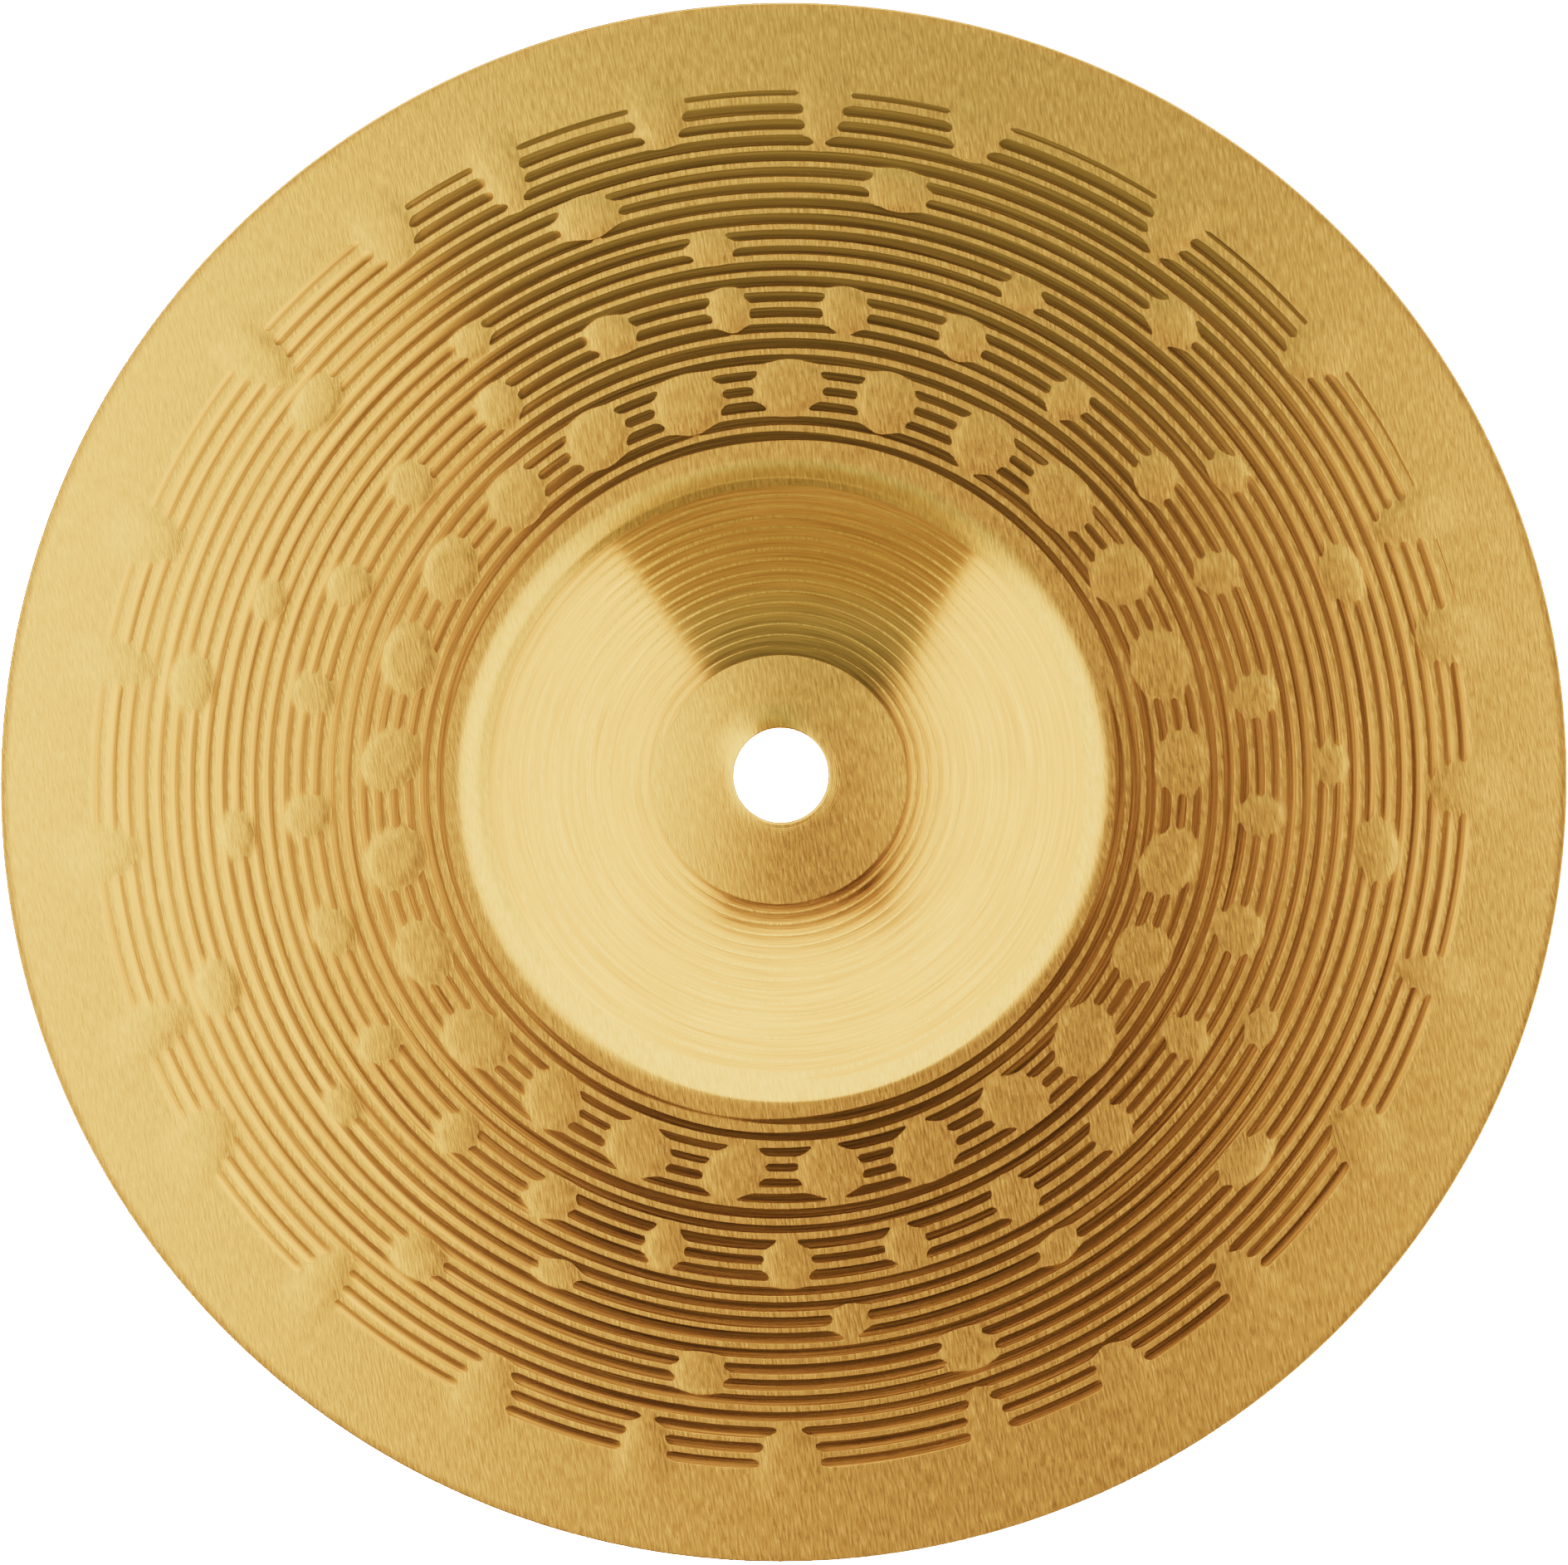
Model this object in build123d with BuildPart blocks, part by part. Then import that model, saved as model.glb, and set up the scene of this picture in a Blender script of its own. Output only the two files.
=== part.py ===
"""A small cymbal: one piece of sheet brass, pressed into a bow and a bell and punched in the middle.

The bell points up +Z and the origin is the centre of the circle that the rim stands on. The underside
of the sheet is a chain of arcs, each starting in the direction in which the one before it ends, drawn
from the rim to the hole. The top is parallel to it.
"""

import os
from math import cos, radians, sin

from build123d import *

# Driving dimensions, in millimetres.
RIM_RADIUS = 101.6  # an 8 inch cymbal
SHEET_THICKNESS = 0.8
HOLE_RADIUS = 6.25
RIM_ROUNDING = 0.15  # both corners of the cut edge, eased all round
HOLE_ROUNDING = 0.45  # the underside corner of the hole, rolled by the punch

# Slope of the underside in degrees above level, going inwards, where one arc gives way to the next.
RIM_SLOPE = 14.5
BOW_SLOPE = 5.0
BELL_SLOPE = 32.0
CROWN_SLOPE = 7.0
DISH_SLOPE = 4.0
PUNCHED_SLOPE = 24.0

# Radii of the underside at the same places, from the bow's inner end to the hole.
BOW_RADIUS = 43.0
BELL_RADIUS = 39.9
CROWN_RADIUS = 16.2
DISH_RADIUS = 7.9  # the punch drew the sheet up from here on
PUNCHED_RADIUS = 5.2  # how far in the drawn sheet reached before the hole trimmed it

# The edge is cut square to the sheet. Easing its corners draws them back by this much, so the sheet is
# drawn that much lower and wider, to stand at zero and to reach the rim radius.
rim_sin, rim_cos = sin(radians(RIM_SLOPE)), cos(radians(RIM_SLOPE))
drawn_back = RIM_ROUNDING * (rim_sin + rim_cos - 1)
edge_radius = RIM_RADIUS - SHEET_THICKNESS * rim_sin + drawn_back


def inwards(start, start_radius, end_radius, start_slope, end_slope):
    """An arc from start towards the axis, which leaves at one slope and ends at the other."""
    slope_change = abs(sin(radians(end_slope)) - sin(radians(start_slope)))
    heading = Vector(-1, 0).rotate(Axis.Z, -start_slope)
    return JernArc(start, heading, (start_radius - end_radius) / slope_change, start_slope - end_slope)


with BuildPart() as cymbal:
    with BuildSketch(Plane.XZ):
        with BuildLine():
            corner = (edge_radius, -drawn_back)
            bow = inwards(corner, edge_radius, BOW_RADIUS, RIM_SLOPE, BOW_SLOPE)
            foot = inwards(bow @ 1, BOW_RADIUS, BELL_RADIUS, BOW_SLOPE, BELL_SLOPE)
            bell = inwards(foot @ 1, BELL_RADIUS, CROWN_RADIUS, BELL_SLOPE, CROWN_SLOPE)
            crown = inwards(bell @ 1, CROWN_RADIUS, DISH_RADIUS, CROWN_SLOPE, DISH_SLOPE)
            dish = inwards(crown @ 1, DISH_RADIUS, PUNCHED_RADIUS, DISH_SLOPE, PUNCHED_SLOPE)
            offset(amount=SHEET_THICKNESS, side=Side.RIGHT)
        make_face()
    revolve()
    with Locations((0, 0, (dish @ 1).Y)):
        Hole(HOLE_RADIUS)

    circles = cymbal.edges().filter_by(Plane.XY).group_by(SortBy.RADIUS)
    hole_corner = circles[0].group_by(Axis.Z)[0]
    fillet(hole_corner, HOLE_ROUNDING)
    rim_corners = circles[-1] + circles[-2]
    fillet(rim_corners, RIM_ROUNDING)

size = cymbal.part.bounding_box().size
print(f"diameter {size.X:.2f}, height {size.Z:.2f}")
hole_wall = cymbal.faces().filter_by(GeomType.CYLINDER).sort_by(SortBy.RADIUS)[0]
wall_heights = [vertex.Z for vertex in hole_wall.vertices()]
print(f"hole wall from {min(wall_heights):.3f} to {max(wall_heights):.3f}")

os.makedirs("parts", exist_ok=True)
cymbal.part.label = "cymbal"
export_step(cymbal.part, "parts/cymbal.step")
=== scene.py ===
"""The visual model of a small sheet-brass cymbal, and the studio round it.

The cymbal is one closed mesh in the CAD's frame. Its shape follows how the real one is made: the
pressed sheet is dented by rings of hammer blows, and then a round-nosed tool cuts a spiral into
whatever stands high enough to meet it. The dents, the rim, the crown and the fillet at the bell's foot
stay below the tool, so they keep the straight grain of the rolled sheet.

Lengths are in millimetres until the mesh is made. Angles on the sheet are seen from below, where the
camera is: zero is to the right in its view and they grow anticlockwise.
"""

from math import asin, cos, degrees, pi, radians, sin

import bpy
import numpy as np
from mathutils import Matrix, Vector


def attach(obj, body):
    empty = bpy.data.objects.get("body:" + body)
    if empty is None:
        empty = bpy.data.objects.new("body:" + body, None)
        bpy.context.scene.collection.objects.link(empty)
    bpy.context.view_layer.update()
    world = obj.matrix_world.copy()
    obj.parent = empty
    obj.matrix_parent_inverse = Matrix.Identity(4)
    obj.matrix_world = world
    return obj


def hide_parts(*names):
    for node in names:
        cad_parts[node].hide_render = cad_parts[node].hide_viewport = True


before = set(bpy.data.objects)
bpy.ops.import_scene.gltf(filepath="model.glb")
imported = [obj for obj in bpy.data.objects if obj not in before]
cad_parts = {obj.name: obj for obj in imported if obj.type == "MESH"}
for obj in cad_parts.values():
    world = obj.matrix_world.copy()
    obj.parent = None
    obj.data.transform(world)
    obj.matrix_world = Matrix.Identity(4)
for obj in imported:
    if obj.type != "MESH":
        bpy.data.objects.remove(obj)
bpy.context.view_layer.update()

MM = 0.001

# ------------------------------------------------------------------ the sheet, as in the CAD

RIM_RADIUS = 101.6
SHEET_THICKNESS = 0.8
HOLE_RADIUS = 6.25
RIM_ROUNDING = 0.15
HOLE_ROUNDING = 0.3
RIM_SLOPE = 14.5
BOW_RADIUS, BOW_SLOPE = 43.0, 5.0
BELL_RADIUS, BELL_SLOPE = 39.9, 32.0
CROWN_RADIUS, CROWN_SLOPE = 16.2, 7.0
DISH_RADIUS, DISH_SLOPE = 7.9, 4.0
PUNCHED_RADIUS, PUNCHED_SLOPE = 5.2, 12.0
BURR = 0.06  # the top's last ring stands this far outside the hole's wall

rim_sin, rim_cos = sin(radians(RIM_SLOPE)), cos(radians(RIM_SLOPE))
drawn_back = RIM_ROUNDING * (rim_sin + rim_cos - 1)
EDGE_RADIUS = RIM_RADIUS - SHEET_THICKNESS * rim_sin + drawn_back

# Along an arc the sine of the slope changes evenly with the radius.
station_radii = [PUNCHED_RADIUS, DISH_RADIUS, CROWN_RADIUS, BELL_RADIUS, BOW_RADIUS, EDGE_RADIUS]
station_slopes = [PUNCHED_SLOPE, DISH_SLOPE, CROWN_SLOPE, BELL_SLOPE, BOW_SLOPE, RIM_SLOPE]
station_sines = np.sin(np.radians(station_slopes))
fine_radii = np.linspace(PUNCHED_RADIUS, EDGE_RADIUS, 20001)
fine_sines = np.interp(fine_radii, station_radii, station_sines)
fine_slopes = fine_sines / np.sqrt(1 - fine_sines**2)
steps = np.diff(fine_radii) * (fine_slopes[1:] + fine_slopes[:-1]) / 2
fine_heights = np.append(np.cumsum(steps[::-1])[::-1], 0) - drawn_back


def sheet_lean(radius):
    """Sine of the sheet's slope at this radius of the underside."""
    return np.interp(radius, fine_radii, fine_sines)


def sheet_point(radius, above):
    """Radius and height of the point that lies this far above the underside, square to the sheet."""
    lean = sheet_lean(radius)
    height = np.interp(radius, fine_radii, fine_heights)
    return radius + above * lean, height + above * np.sqrt(1 - lean**2)


# ------------------------------------------------------------------ how the surface was worked

# Each ring of blows: radius, first angle in degrees, count, width round and across, depth, how much the
# middle is hollower still, and how the angles scatter.
HAMMER_RINGS = (
    dict(radius=51.7, first=3.0, count=25, around=9.4, across=8.6, depth=0.060, bowl=0.006, scatter=0.3),
    dict(radius=62.6, first=10.7, count=25, around=6.6, across=6.9, depth=0.062, bowl=0.010, scatter=0.5),
    dict(radius=71.0, first=5.0, count=12, around=6.6, across=5.2, depth=0.058, bowl=0.018, scatter=1.8),
    dict(radius=78.2, first=20.5, count=12, around=8.8, across=6.4, depth=0.064, bowl=0.030, scatter=1.8),
    dict(radius=89.6, first=12.0, count=25, around=8.8, across=13.0, depth=0.076, bowl=0.016, scatter=1.8),
)
# In the outermost ring every other blow is narrower, longer and further out, and all fade out at the rim.
OUTERMOST = 85.0
OUTERMOST_FADE = (96, 88)
ODD_AROUND, ODD_ACROSS, ODD_FURTHER = 0.8, 1.25, 0.8
WAVINESS = 0.0025  # the rolled sheet's own unevenness
SEEDS = {"under": 11, "top": 23}
# The tool's spirals: outer and inner radius, turns, feed, nose radius and depth of the tool, and how many
# rows of the mesh follow one turn.
BOW_LATHE = dict(outer=93.6, inner=43.3, turns=25, feed=2.02, nose=13.5, depth=0.0195, rows=6)
BELL_LATHE = dict(outer=39.6, inner=16.35, turns=16, feed=1.45, nose=20.0, depth=0.012, rows=5)
# The tool cut least near the bell: shares of its depth, and the radii between which each is added.
BOW_CUT_LEAST = 0.24
BOW_CUT_MORE = ((0.46, 44, 49), (0.90, 54, 72))
CLEAR_OF_TOOL = -0.05  # stands for a depth where no tool passes
# Scores left by the punch round the hole, deepest on one side.
SCORE_RADII = (6.95, 7.2, 7.45, 7.8)
SCORE_DEPTH, SCORE_WIDTH, SCORE_AT = 0.007, 0.05, radians(305)
SCORED = 8.1  # inside this radius the mesh is fine enough for them
# On one side of the hole the punch bent the sheet up: its middle, spread, outer radius and height.
DIP_AT, DIP_SPREAD, DIP_OUTER, DIP_HEIGHT = radians(112), radians(75), 10.4, 0.50


def wander(rng, angle, radius, around, across):
    """Smooth random values from -1 to 1, with this many cells round the circle and this many mm across."""
    rows = int(120 / across) + 3
    lattice = rng.uniform(-1, 1, (rows, around))
    a = (angle / (2 * pi)) % 1 * around
    r = radius / across
    a0, r0 = np.floor(a).astype(int), np.floor(r).astype(int)
    fa, fr = a - a0, r - r0
    fa, fr = fa * fa * (3 - 2 * fa), fr * fr * (3 - 2 * fr)
    a1 = (a0 + 1) % around
    a0 = a0 % around
    low = lattice[r0, a0] * (1 - fa) + lattice[r0, a1] * fa
    high = lattice[r0 + 1, a0] * (1 - fa) + lattice[r0 + 1, a1] * fa
    return low * (1 - fr) + high * fr


def smooth_step(low, high, value):
    t = np.clip((value - low) / (high - low), 0, 1)
    return t * t * (3 - 2 * t)


def dents(rng, angle, radius):
    """Depth of the hammered sheet below the pressed one."""
    depth = np.zeros_like(radius)
    for ring in HAMMER_RINGS:
        turn = 2 * pi / ring["count"]
        for n in range(ring["count"]):
            odd = n % 2 if ring["radius"] > OUTERMOST else 0
            at = radians(ring["first"]) + turn * n + radians(rng.normal(0, ring["scatter"]))
            away = ring["radius"] + rng.normal(0, 0.35) + (ODD_FURTHER if odd else 0)
            around = ring["around"] * rng.uniform(0.88, 1.12) * (ODD_AROUND if odd else 1.0)
            across = ring["across"] * rng.uniform(0.92, 1.08) * (ODD_ACROSS if odd else 1.0)
            deep = ring["depth"] * rng.uniform(0.8, 1.15)
            skew = rng.normal(0, 0.12)
            off = (angle - at + pi) % (2 * pi) - pi
            near = np.abs(off) * ring["radius"] < around
            x = off[near] * away / (around / 2)
            y = (radius[near] - away) / (across / 2)
            x = x + skew * y
            d2 = np.clip(x * x + y * y, 0, 1)
            dent = deep * smooth_step(1, 0.55, np.sqrt(d2)) + ring["bowl"] * (1 - d2) ** 2
            if ring["radius"] > OUTERMOST:
                dent = dent * smooth_step(*OUTERMOST_FADE, radius[near])
            depth[near] = np.maximum(depth[near], dent)
    return depth


def punched_dip(angle, radius):
    """How far the punch bent the sheet upwards on one side of the hole."""
    off = (angle - DIP_AT + pi) % (2 * pi) - pi
    inwards = np.clip((DIP_OUTER - radius) / (DIP_OUTER - HOLE_RADIUS), 0, 1.1)
    return DIP_HEIGHT * inwards**2 * smooth_step(DIP_SPREAD, 0, np.abs(off))


def tool_depth(rng, lathe, angle, radius, uneven, ends):
    """Depth of the spiral cut below the pressed sheet, negative where the tool passes over it."""
    # Which turn of the spiral a point is on, as a number that grows inwards.
    phase = (lathe["outer"] - radius) / lathe["feed"] - (angle / (2 * pi)) % 1
    turn = np.floor(phase)
    off = (phase - turn - 0.5) * lathe["feed"]
    middle = radius + off
    run = angle + 2 * pi * turn
    each = rng.normal(0, 1, 200)[np.clip(turn, 0, 199).astype(int)]
    drift = wander(rng, run * 0.37, middle, 9, 6.0) * 0.5 + wander(rng, run * 0.61, middle, 31, 2.4) * 0.5
    deep = lathe["depth"] * (1 + uneven * (0.25 * each + drift))
    outer_end, inner_end = ends
    fade_out = smooth_step(lathe["outer"], lathe["outer"] - outer_end, middle)
    fade_in = smooth_step(lathe["inner"], lathe["inner"] + inner_end, middle)
    deep = deep * fade_out * fade_in - 0.02 * (1 - fade_out * fade_in)
    inside = (middle < lathe["outer"]) & (middle > lathe["inner"])
    return np.where(inside, deep - off**2 / (2 * lathe["nose"]), CLEAR_OF_TOOL)


def worked(side, angle, radius):
    """How deep the finished surface lies below the pressed sheet, and how much of that the tool cut."""
    rng = np.random.default_rng(SEEDS[side])
    sheet = dents(rng, angle, radius) + WAVINESS * (1 + wander(rng, angle, radius, 14, 16.0))
    bow = tool_depth(rng, BOW_LATHE, angle, radius, uneven=0.30, ends=(5.5, 1.0))
    bell = tool_depth(rng, BELL_LATHE, angle, radius, uneven=0.12, ends=(0.6, 0.2))
    bow_share = BOW_CUT_LEAST
    for more, near_bell, far in BOW_CUT_MORE:
        bow_share = bow_share + more * smooth_step(near_bell, far, radius)
    tool = np.maximum(bow * bow_share, bell)
    depth = np.maximum(sheet, tool)
    if side == "under":
        worn = 0.35 + 0.65 * (0.5 + 0.5 * np.cos(angle - SCORE_AT)) ** 2
        for score in SCORE_RADII:
            depth = depth + SCORE_DEPTH * worn * np.exp(-(((radius - score) / SCORE_WIDTH) ** 2))
    return depth, tool - sheet


# ------------------------------------------------------------------ the mesh

SEGMENTS = 600


class Shell:
    """A closed surface built from rings, in the order underside, hole, top, rim."""

    def __init__(self):
        self.points, self.cuts, self.faces, self.count = [], [], [], 0

    def add(self, angle, radius, height, cut):
        """Adds vertices given in millimetres and returns their numbers."""
        angle, radius, height, cut = np.broadcast_arrays(angle, radius, height, cut)
        height = height + punched_dip(angle, radius)
        places = np.stack([-radius * np.cos(angle), radius * np.sin(angle), height], axis=-1)
        self.points.append(places * MM)
        self.cuts.append(cut)
        self.count += len(radius)
        return np.arange(self.count - len(radius), self.count)

    def add_worked(self, side, angle, radius):
        """Adds vertices of the worked surface over these radii of the pressed underside."""
        depth, cut = worked(side, angle, radius)
        above = depth if side == "under" else SHEET_THICKNESS - depth
        out, up = sheet_point(radius, above)
        return self.add(angle, out, up, cut)

    def quads(self, one, other, flipped=False):
        """Faces between two rows of numbers, each one longer than the row of faces."""
        corners = [one[:-1], one[1:], other[1:], other[:-1]]
        if flipped:
            corners.reverse()
        self.faces.append(np.stack(corners, axis=-1).reshape(-1, 4))

    def join(self, one, other):
        self.quads(np.append(one, one[0]), np.append(other, other[0]))

    def circles(self, side, radii, start=None):
        """Plain rings of the worked surface at these radii, joined on from start. Returns the last."""
        for radius in radii:
            ring = self.add_worked(side, CIRCLE, np.full(SEGMENTS, radius))
            if start is not None:
                self.join(*((start, ring) if side == "under" else (ring, start)))
            start = ring
        return start

    def edge(self, start, section, cut):
        """Rings through the section's points, joined on from start. Returns the last."""
        for radius, height in section:
            ring = self.add(CIRCLE, np.full(SEGMENTS, radius), height, cut)
            self.join(start, ring)
            start = ring
        return start

    def spiral(self, side, lathe, start):
        """A zone whose rows follow the tool, from the circle at its outer edge to the one at its inner.

        A row leaves the outer circle, winds inwards by one feed a turn and lands on the inner circle.
        Where a row has gone round once, it meets the start of the row one feed further in.
        """
        rows, feed = lathe["rows"], lathe["feed"]
        last = lathe["turns"] * rows
        row = np.arange(-rows, last + 1)[:, None]
        t = np.arange(SEGMENTS)[None, :] / SEGMENTS
        winding = lathe["outer"] - feed * (row / rows + t)
        leaving = lathe["outer"] - feed * t * (row + rows) / rows
        inner = lathe["outer"] - lathe["turns"] * feed
        landing = inner + feed * (last - row) / rows * (1 - t)
        radius = np.where(row < 0, leaving, np.where(row > last - rows, landing, winding))

        number = np.zeros((len(row), SEGMENTS + 1), int)
        number[0, :SEGMENTS] = start
        fresh = np.ones((len(row), SEGMENTS), bool)
        fresh[0, :] = False
        fresh[: rows + 1, 0] = False  # these rows leave from the same corner
        angle = np.broadcast_to(2 * pi * t, radius.shape)
        number[:, :SEGMENTS][fresh] = self.add_worked(side, angle[fresh], radius[fresh])
        number[: rows + 1, 0] = start[0]
        onward = np.minimum(np.arange(len(row)) + rows, len(row) - 1)
        number[:, SEGMENTS] = number[onward, 0]
        self.quads(number[:-1].T, number[1:].T, flipped=side == "top")
        return number[-1, :SEGMENTS]

    def to_object(self, name):
        mesh = bpy.data.meshes.new(name)
        faces = np.concatenate(self.faces)
        # A face whose neighbouring corners are the same vertex loses one of them.
        whole = np.all(faces != np.roll(faces, 1, axis=1), axis=1)
        tidy = faces[whole].tolist()
        for face in faces[~whole].tolist():
            corners = [v for n, v in enumerate(face) if v != face[n - 1]]
            if len(set(corners)) >= 3:
                tidy.append(corners)
        mesh.from_pydata(np.concatenate(self.points).tolist(), [], tidy)
        mesh.validate()
        layer = mesh.attributes.new("cut", "FLOAT", "POINT")
        layer.data.foreach_set("value", np.concatenate(self.cuts).astype(np.float32))
        mesh.shade_smooth()
        piece = bpy.data.objects.new(name, mesh)
        bpy.context.scene.collection.objects.link(piece)
        return piece


CIRCLE = 2 * pi * np.arange(SEGMENTS) / SEGMENTS


def spaced(outer, inner, step):
    """Radii from outer to inner, about this far apart, without the two ends."""
    return np.linspace(outer, inner, max(2, round((outer - inner) / step)) + 1)[1:-1]


def arc_section(centre, size, start, end, count):
    """Points of an arc about centre, as (radius, height), from one direction in degrees to the other."""
    turn = np.radians(np.linspace(start, end, count))
    return list(zip(centre[0] + size * np.cos(turn), centre[1] + size * np.sin(turn)))


def radius_where(target, above):
    """Radius on the underside below the point of this layer that is this far from the axis."""
    out, _ = sheet_point(fine_radii, above)
    return float(np.interp(target, out, fine_radii))


def rim_section():
    """The cut edge, from next to the top's outer ring, round both eased corners, to the underside's."""
    corner = np.array([EDGE_RADIUS, -drawn_back])
    inwards, upwards = np.array([-rim_cos, rim_sin]), np.array([rim_sin, rim_cos])
    low = corner + RIM_ROUNDING * (inwards + upwards)
    high = low + (SHEET_THICKNESS - 2 * RIM_ROUNDING) * upwards
    upper = arc_section(high, RIM_ROUNDING, 90 - RIM_SLOPE, -RIM_SLOPE, 5)
    lower = arc_section(low, RIM_ROUNDING, -RIM_SLOPE, -90 - RIM_SLOPE, 5)
    return upper[1:] + lower[:-1]


def build_cymbal():
    shell = Shell()
    eased = EDGE_RADIUS - RIM_ROUNDING * rim_cos
    rolled = radius_where(HOLE_RADIUS + HOLE_ROUNDING, HOLE_ROUNDING)
    bow_inner = BOW_LATHE["outer"] - BOW_LATHE["turns"] * BOW_LATHE["feed"]
    bell_inner = BELL_LATHE["outer"] - BELL_LATHE["turns"] * BELL_LATHE["feed"]

    # The underside, inwards.
    first = shell.circles("under", [eased])
    ring = shell.circles("under", spaced(eased, BOW_LATHE["outer"], 1.0), first)
    ring = shell.circles("under", [BOW_LATHE["outer"]], ring)
    ring = shell.spiral("under", BOW_LATHE, ring)
    ring = shell.circles("under", spaced(bow_inner, BELL_LATHE["outer"], 0.3), ring)
    ring = shell.circles("under", [BELL_LATHE["outer"]], ring)
    ring = shell.spiral("under", BELL_LATHE, ring)
    ring = shell.circles("under", spaced(bell_inner, SCORED, 0.6), ring)
    ring = shell.circles("under", spaced(SCORED, rolled, 0.03), ring)
    ring = shell.circles("under", [rolled], ring)

    # Round the underside corner of the hole and up its wall.
    slope = degrees(asin(sheet_lean(rolled)))
    corner = arc_section(sheet_point(rolled, HOLE_ROUNDING), HOLE_ROUNDING, -90 - slope, -180, 7)[1:]
    top_inner = radius_where(HOLE_RADIUS + BURR, SHEET_THICKNESS)
    lip = float(sheet_point(top_inner, SHEET_THICKNESS)[1])
    wall = [(HOLE_RADIUS, z) for z in np.linspace(corner[-1][1], lip - BURR, 4)[1:]]
    ring = shell.edge(ring, corner + wall, 1.0)

    # The top, outwards, built inwards from the rim and joined at both ends.
    top_first = shell.circles("top", [eased])
    back = shell.circles("top", spaced(eased, BOW_LATHE["outer"], 1.3), top_first)
    back = shell.circles("top", [BOW_LATHE["outer"]], back)
    back = shell.spiral("top", BOW_LATHE, back)
    back = shell.circles("top", spaced(bow_inner, BELL_LATHE["outer"], 0.3), back)
    back = shell.circles("top", [BELL_LATHE["outer"]], back)
    back = shell.spiral("top", BELL_LATHE, back)
    back = shell.circles("top", spaced(bell_inner, DISH_RADIUS + 0.6, 0.6), back)
    back = shell.circles("top", spaced(DISH_RADIUS + 0.6, top_inner, 0.25), back)
    back = shell.circles("top", [top_inner], back)
    shell.join(ring, back)

    # The cut edge of the rim, from the top round to the underside.
    ring = shell.edge(top_first, rim_section(), 1.0)
    shell.join(ring, first)
    return shell.to_object("cymbal_brass")


# ------------------------------------------------------------------ the brass

ROLLED_COLOUR, LATHED_COLOUR = (0.86, 0.60, 0.255), (0.89, 0.56, 0.235)
GRAIN_LEAN = radians(10)  # how far the rolling direction leans from Y
# Sizes of the marks in metres, and the heights of the rolled grain and of the turning lines.
GRAIN_ACROSS, GRAIN_ALONG = 0.00027, 0.0020
TURNING_LINES, TURNING_BANDS = 0.00034, 0.0009
GRAIN_HEIGHT, TURNING_HEIGHT = 0.0000120, 0.0000060


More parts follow.
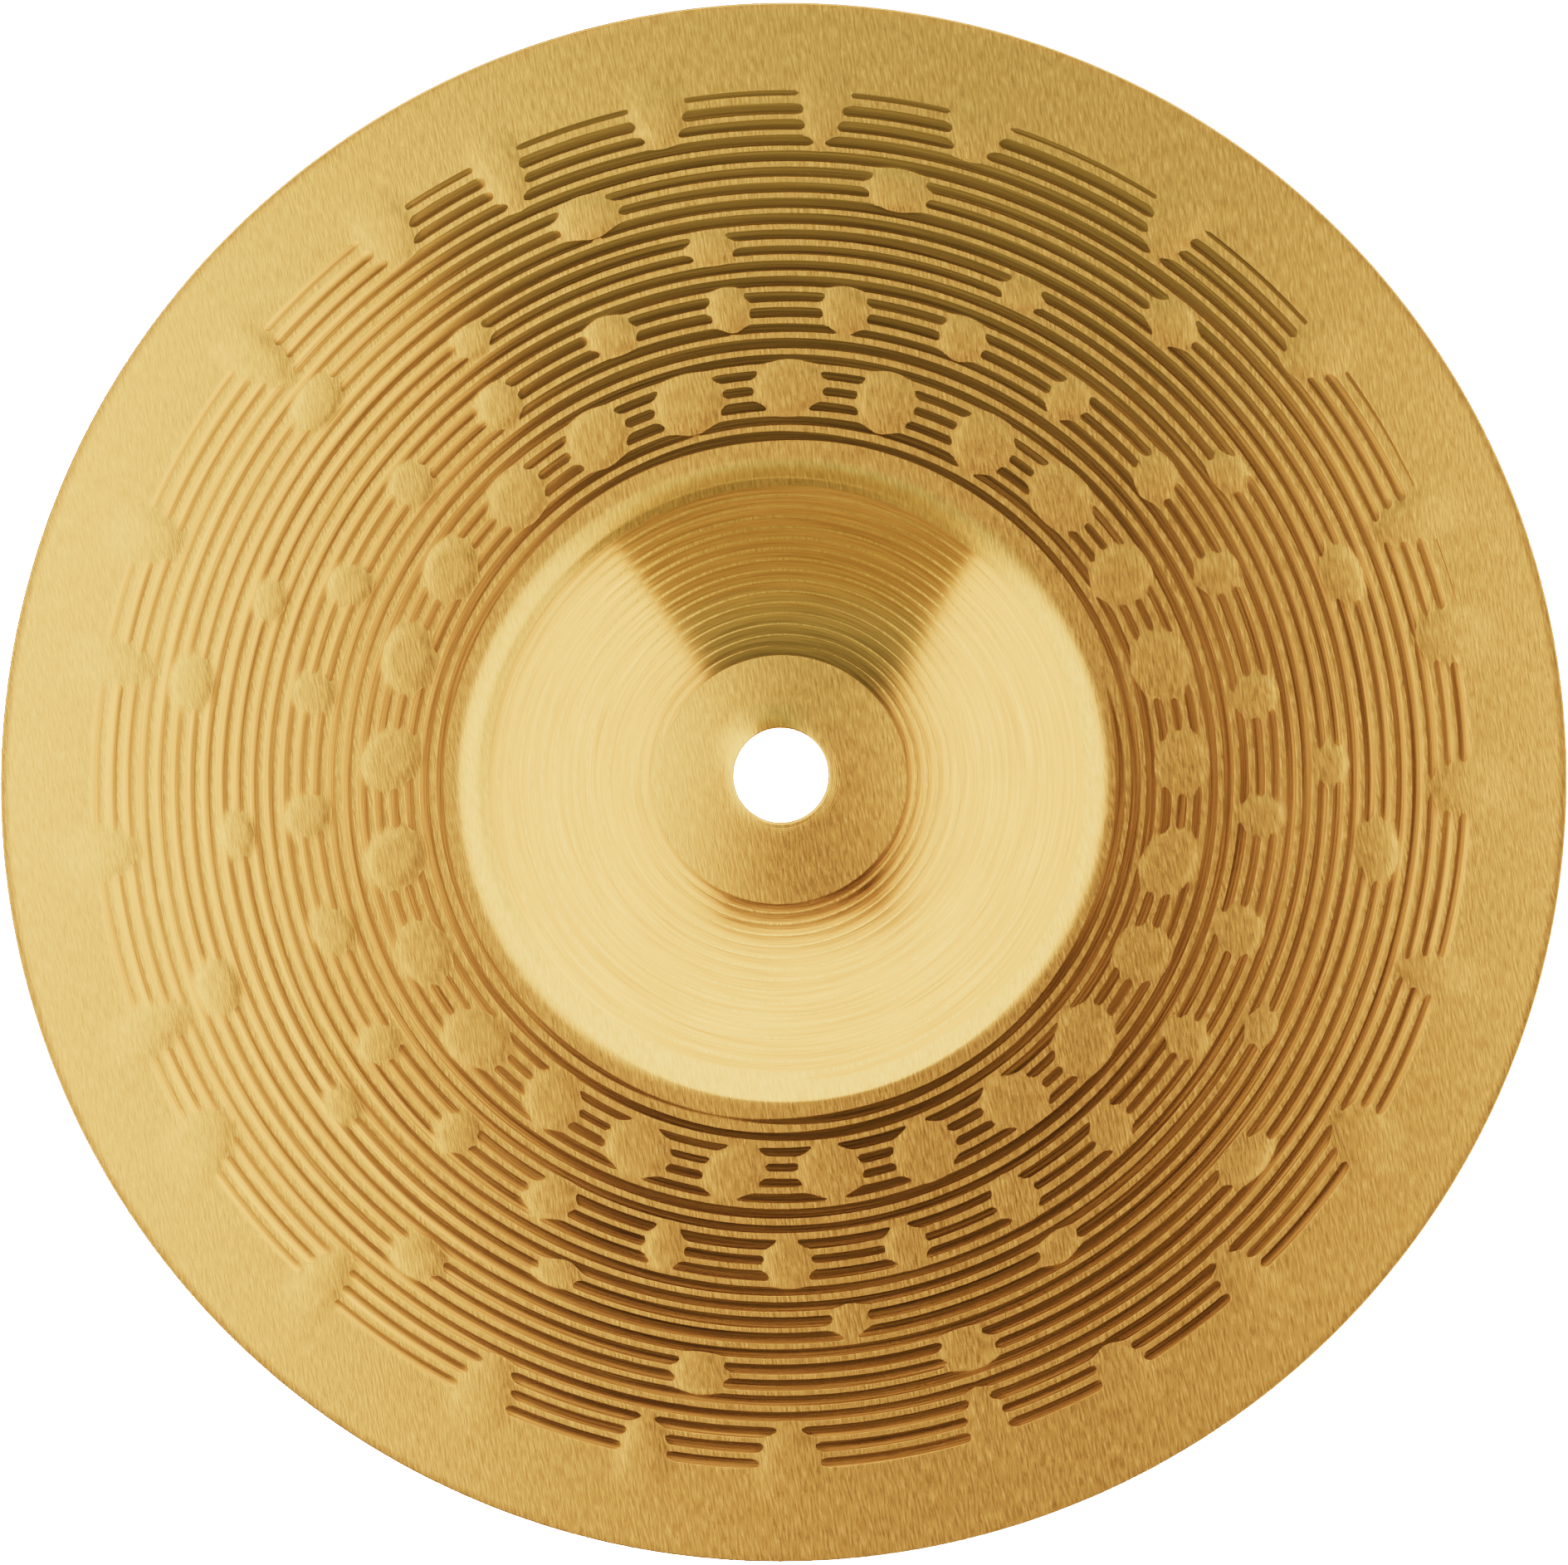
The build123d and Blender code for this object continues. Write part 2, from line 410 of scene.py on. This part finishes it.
def brass():
    material = bpy.data.materials.new("brass")
    material.use_nodes = True
    nodes, links = material.node_tree.nodes, material.node_tree.links
    nodes.clear()

    def node(kind, **inputs):
        made = nodes.new(kind)
        for key, value in inputs.items():
            made.inputs[key.replace("_", " ")].default_value = value
        return made

    def math(operation, a, b=None, c=None):
        made = nodes.new("ShaderNodeMath")
        made.operation = operation
        for socket, value in zip(made.inputs, (a, b, c)):
            if value is None:
                continue
            if isinstance(value, (int, float)):
                socket.default_value = value
            else:
                links.new(value, socket)
        return made.outputs[0]

    def combine(x, y, z):
        made = nodes.new("ShaderNodeCombineXYZ")
        for socket, value in zip(made.inputs, (x, y, z)):
            if isinstance(value, (int, float)):
                socket.default_value = value
            else:
                links.new(value, socket)
        return made.outputs[0]

    def noise(vector, scale, detail=2.0, roughness=0.5):
        made = node("ShaderNodeTexNoise", Scale=scale, Detail=detail, Roughness=roughness)
        links.new(vector, made.inputs["Vector"])
        return made.outputs["Fac"]

    def span(value, low, high, to_low=0.0, to_high=1.0, smooth=False):
        made = nodes.new("ShaderNodeMapRange")
        made.interpolation_type = "SMOOTHSTEP" if smooth else "LINEAR"
        for key, number in zip(("From Min", "From Max", "To Min", "To Max"), (low, high, to_low, to_high)):
            made.inputs[key].default_value = number
        links.new(value, made.inputs["Value"])
        return made.outputs[0]

    def mixed(share, one, other, kind="FLOAT"):
        made = nodes.new("ShaderNodeMix")
        made.data_type = kind
        links.new(share, made.inputs[0])
        sockets = [s for s in made.inputs if s.name in ("A", "B") and s.enabled]
        for socket, value in zip(sockets, (one, other)):
            if isinstance(value, (int, float, tuple)):
                socket.default_value = value
            else:
                links.new(value, socket)
        return [s for s in made.outputs if s.enabled][0]

    place = nodes.new("ShaderNodeTexCoord").outputs["Object"]
    split = nodes.new("ShaderNodeSeparateXYZ")
    links.new(place, split.inputs[0])
    x, y, z = split.outputs
    distance = math("SQRT", math("ADD", math("MULTIPLY", x, x), math("MULTIPLY", y, y)))
    out_x, out_y = math("DIVIDE", x, distance), math("DIVIDE", y, distance)

    cut = nodes.new("ShaderNodeAttribute")
    cut.attribute_name = "cut"
    lathed = span(cut.outputs["Fac"], -0.0008, 0.0012, smooth=True)

    # Straight grain of the rolled sheet: streaks along the rolling direction.
    grain_x, grain_y = sin(GRAIN_LEAN), cos(GRAIN_LEAN)
    along = math("ADD", math("MULTIPLY", x, grain_x), math("MULTIPLY", y, grain_y))
    across = math("SUBTRACT", math("MULTIPLY", x, grain_y), math("MULTIPLY", y, grain_x))
    streaks = noise(
        combine(math("MULTIPLY", across, 1 / GRAIN_ACROSS), math("MULTIPLY", along, 1 / GRAIN_ALONG), 0.0),
        1.0, 3.0, 0.65,
    )
    # Turning lines of the tool: fine rings that waver a little round the circle.
    round_x, round_y = math("MULTIPLY", out_x, 2.2), math("MULTIPLY", out_y, 2.2)
    rings = noise(combine(math("MULTIPLY", distance, 1 / TURNING_LINES), round_x, round_y), 1.0, 3.0, 0.65)
    bands = noise(combine(math("MULTIPLY", distance, 1 / TURNING_BANDS), out_x, out_y), 1.0, 1.0)
    cloud = noise(place, 38.0, 3.0)

    grain = mixed(lathed, streaks, rings)
    rolled_roughness = span(streaks, 0.25, 0.75, 0.175, 0.225)
    roughness = mixed(lathed, rolled_roughness, span(rings, 0.25, 0.75, 0.14, 0.18))
    height = math("MULTIPLY", grain, mixed(lathed, GRAIN_HEIGHT, TURNING_HEIGHT))
    bump = node("ShaderNodeBump", Strength=1.0, Distance=1.0)
    links.new(height, bump.inputs["Height"])

    tone = math("ADD", span(grain, 0.25, 0.75, 0.74, 1.16), span(cloud, 0.3, 0.7, -0.02, 0.02))
    tone = math("ADD", tone, math("MULTIPLY", lathed, span(bands, 0.3, 0.7, -0.05, 0.04)))
    colour = nodes.new("ShaderNodeMix")
    colour.data_type, colour.blend_type = "RGBA", "MULTIPLY"
    colour.inputs[0].default_value = 1.0
    links.new(mixed(lathed, (*ROLLED_COLOUR, 1.0), (*LATHED_COLOUR, 1.0), "RGBA"), colour.inputs[6])
    links.new(combine(tone, tone, tone), colour.inputs[7])

    # The stretch of a highlight lies across the marks: outwards on lathed metal, across the grain on rolled.
    tangent = mixed(lathed, combine(grain_y, -grain_x, 0.0), combine(out_x, out_y, 0.0), "VECTOR")

    skin = node("ShaderNodeBsdfPrincipled", Metallic=1.0, Anisotropic=0.87)
    links.new(colour.outputs[2], skin.inputs["Base Color"])
    links.new(roughness, skin.inputs["Roughness"])
    links.new(bump.outputs[0], skin.inputs["Normal"])
    links.new(tangent, skin.inputs["Tangent"])
    output = nodes.new("ShaderNodeOutputMaterial")
    links.new(skin.outputs[0], output.inputs[0])
    return material


# ------------------------------------------------------------------ the studio

CAMERA_TILT, CAMERA_TOWARD, CAMERA_DISTANCE = 6.7, 112.7, 850
FRAME_OVER_RIM = 0.999  # trims the lens so that the rendered outline is as large as the photograph's
SENSOR = 36.0

FLOOR_HALF = 3.0
PAPER = (0.87, 0.91, 0.93, 1)

# The tent is a wide soft box in front of the underside, and the flag a darker shape before its middle.
TENT_AWAY, TENT_SIZE, TENT_RADIANCE, TENT_TINT = 640, (3400, 3200), 1.45, (1.0, 0.68, 0.59)
FLAG_AWAY = 600
FLAG_OUTLINE = ((-104, 70), (-104, -230), (-850, -1450), (950, -1450), (132, -230), (132, 70))
FLAG_COLOUR, STAND_COLOUR = (0.86, 1.0, 0.84), (1.0, 0.81, 0.58)
# Going down, the shape glows more strongly and then turns from the flag's colour to the stand's. Each has
# its first and last height in metres, and the values there.
FLAG_GLOW, FLAG_TO_STAND = (-0.14, -0.40, 0.05, 0.38), (-0.30, -0.60, 0.0, 1.0)
# Lights above the cymbal: name, place, width and height, radiance.
UPPER_LIGHTS = (
    ("overhead", (-500, 350, 1250), (1500, 1100), 1.5),
    ("side_front", (900, 1100, 800), (900, 1200), 0.9),
    ("side_back", (700, -1300, 700), (1300, 700), 0.8),
    ("ceiling", (0, 0, 2600), (7000, 7000), 0.35),
)
UPPER_TINT = (1.0, 0.80, 0.74)
BACKDROP_STRENGTH = 60.0
ROOM_COLOUR = (0.30, 0.26, 0.20, 1)


def build_camera():
    """The photograph's view: from below, nearly along the axis, with the rim just inside the frame."""
    tilt, toward = radians(CAMERA_TILT), radians(CAMERA_TOWARD)
    side = Vector((-cos(toward), sin(toward), 0))
    place = CAMERA_DISTANCE * (sin(tilt) * side - cos(tilt) * Vector((0, 0, 1))) * MM
    # The near half of the rim looks larger, so the outline's middle is this far towards it.
    aim = side * RIM_RADIUS**2 * sin(tilt) * cos(tilt) / CAMERA_DISTANCE * MM
    back = (place - aim).normalized()
    right = Vector((0, 1, 0)).cross(back).normalized()
    up = back.cross(right)
    camera = bpy.data.objects.new("camera", bpy.data.cameras.new("camera"))
    camera.matrix_world = Matrix.Translation(place) @ Matrix((right, up, back)).transposed().to_4x4()
    camera.data.sensor_fit, camera.data.sensor_width = "HORIZONTAL", SENSOR
    camera.data.lens = SENSOR * CAMERA_DISTANCE / (2 * RIM_RADIUS * FRAME_OVER_RIM)
    camera.data.clip_start = 0.01
    bpy.context.scene.collection.objects.link(camera)
    bpy.context.scene.camera = camera
    return camera


def build_floor():
    """A pale floor under the rim. It shows only to a camera above it, so it doesn't hide the underside."""
    mesh = bpy.data.meshes.new("floor")
    corners = [(-FLOOR_HALF, -FLOOR_HALF, 0), (FLOOR_HALF, -FLOOR_HALF, 0)]
    corners += [(FLOOR_HALF, FLOOR_HALF, 0), (-FLOOR_HALF, FLOOR_HALF, 0)]
    mesh.from_pydata(corners, [], [(0, 1, 2, 3)])
    floor = bpy.data.objects.new("floor", mesh)
    material = bpy.data.materials.new("floor")
    material.use_nodes = True
    nodes, links = material.node_tree.nodes, material.node_tree.links
    nodes.clear()
    geometry = nodes.new("ShaderNodeNewGeometry")
    paper = nodes.new("ShaderNodeBsdfDiffuse")
    paper.inputs["Color"].default_value = PAPER
    clear = nodes.new("ShaderNodeBsdfTransparent")
    either = nodes.new("ShaderNodeMixShader")
    output = nodes.new("ShaderNodeOutputMaterial")
    links.new(geometry.outputs["Backfacing"], either.inputs[0])
    links.new(paper.outputs[0], either.inputs[1])
    links.new(clear.outputs[0], either.inputs[2])
    links.new(either.outputs[0], output.inputs[0])
    mesh.materials.append(material)
    floor.visible_diffuse = floor.visible_glossy = False
    floor.visible_transmission = floor.visible_shadow = False
    bpy.context.scene.collection.objects.link(floor)


def in_front(camera, away):
    """The frame square to the camera's axis, this many millimetres in front of the cymbal."""
    turned = camera.matrix_world.to_3x3()
    return Matrix.Translation(turned @ Vector((0, 0, away)) * MM) @ turned.to_4x4()


def soft_box(name, frame_of, width, height, radiance, tint):
    """A soft box in the middle of this frame, shining along its -Z. The camera doesn't see it."""
    data = bpy.data.lights.new(name, "AREA")
    data.shape, data.size, data.size_y = "RECTANGLE", width * MM, height * MM
    data.energy, data.color = radiance * width * height * MM**2 * pi, tint
    light = bpy.data.objects.new(name, data)
    light.matrix_world = frame_of
    light.visible_camera = False
    bpy.context.scene.collection.objects.link(light)


def build_flag(camera):
    """The dark shape of the camera and, spreading below it, its stand, which the metal mirrors."""
    mesh = bpy.data.meshes.new("flag")
    corners = [(x * MM, y * MM, 0) for x, y in FLAG_OUTLINE]
    mesh.from_pydata(corners, [], [list(range(len(corners)))])
    flag = bpy.data.objects.new("flag", mesh)
    flag.matrix_world = in_front(camera, FLAG_AWAY)
    material = bpy.data.materials.new("flag")
    material.use_nodes = True
    nodes, links = material.node_tree.nodes, material.node_tree.links
    nodes.clear()
    place, split = nodes.new("ShaderNodeTexCoord"), nodes.new("ShaderNodeSeparateXYZ")
    paler, lower = nodes.new("ShaderNodeMapRange"), nodes.new("ShaderNodeMapRange")
    for made, numbers in ((paler, FLAG_GLOW), (lower, FLAG_TO_STAND)):
        for key, number in zip(("From Min", "From Max", "To Min", "To Max"), numbers):
            made.inputs[key].default_value = number
    warmer = nodes.new("ShaderNodeMix")
    warmer.data_type = "RGBA"
    warmer.inputs[6].default_value, warmer.inputs[7].default_value = (*FLAG_COLOUR, 1), (*STAND_COLOUR, 1)
    glow, output = nodes.new("ShaderNodeEmission"), nodes.new("ShaderNodeOutputMaterial")
    links.new(place.outputs["Object"], split.inputs[0])
    links.new(split.outputs["Y"], paler.inputs["Value"])
    links.new(split.outputs["Y"], lower.inputs["Value"])
    links.new(lower.outputs[0], warmer.inputs[0])
    links.new(warmer.outputs[2], glow.inputs["Color"])
    links.new(paler.outputs[0], glow.inputs["Strength"])
    links.new(glow.outputs[0], output.inputs[0])
    mesh.materials.append(material)
    flag.visible_camera = False
    bpy.context.scene.collection.objects.link(flag)


def build_lights(camera):
    soft_box("tent", in_front(camera, TENT_AWAY), *TENT_SIZE, TENT_RADIANCE, TENT_TINT)
    for name, place, size, radiance in UPPER_LIGHTS:
        away = Vector(place) * MM
        aimed_down = Matrix.Translation(away) @ away.to_track_quat("Z", "Y").to_matrix().to_4x4()
        soft_box(name, aimed_down, *size, radiance, UPPER_TINT)


def build_world():
    """White where the camera sees past everything, and a dim warm room for the metal to mirror."""
    world = bpy.data.worlds.new("studio")
    bpy.context.scene.world = world
    world.use_nodes = True
    nodes, links = world.node_tree.nodes, world.node_tree.links
    nodes.clear()
    seen = nodes.new("ShaderNodeLightPath")
    backdrop, surround = nodes.new("ShaderNodeBackground"), nodes.new("ShaderNodeBackground")
    backdrop.inputs["Color"].default_value = (1, 1, 1, 1)
    backdrop.inputs["Strength"].default_value = BACKDROP_STRENGTH
    surround.inputs["Color"].default_value = ROOM_COLOUR
    surround.inputs["Strength"].default_value = 1.0
    either = nodes.new("ShaderNodeMixShader")
    output = nodes.new("ShaderNodeOutputWorld")
    links.new(seen.outputs["Is Camera Ray"], either.inputs[0])
    links.new(surround.outputs[0], either.inputs[1])
    links.new(backdrop.outputs[0], either.inputs[2])
    links.new(either.outputs[0], output.inputs[0])


# ------------------------------------------------------------------ the scene

bpy.context.scene.view_settings.view_transform = "Filmic"
bpy.context.scene.view_settings.look = "Very High Contrast"
cymbal = build_cymbal()
cymbal.data.materials.append(brass())
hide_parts("cymbal")
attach(cymbal, "root")
camera = build_camera()
build_lights(camera)
build_flag(camera)
build_floor()
build_world()
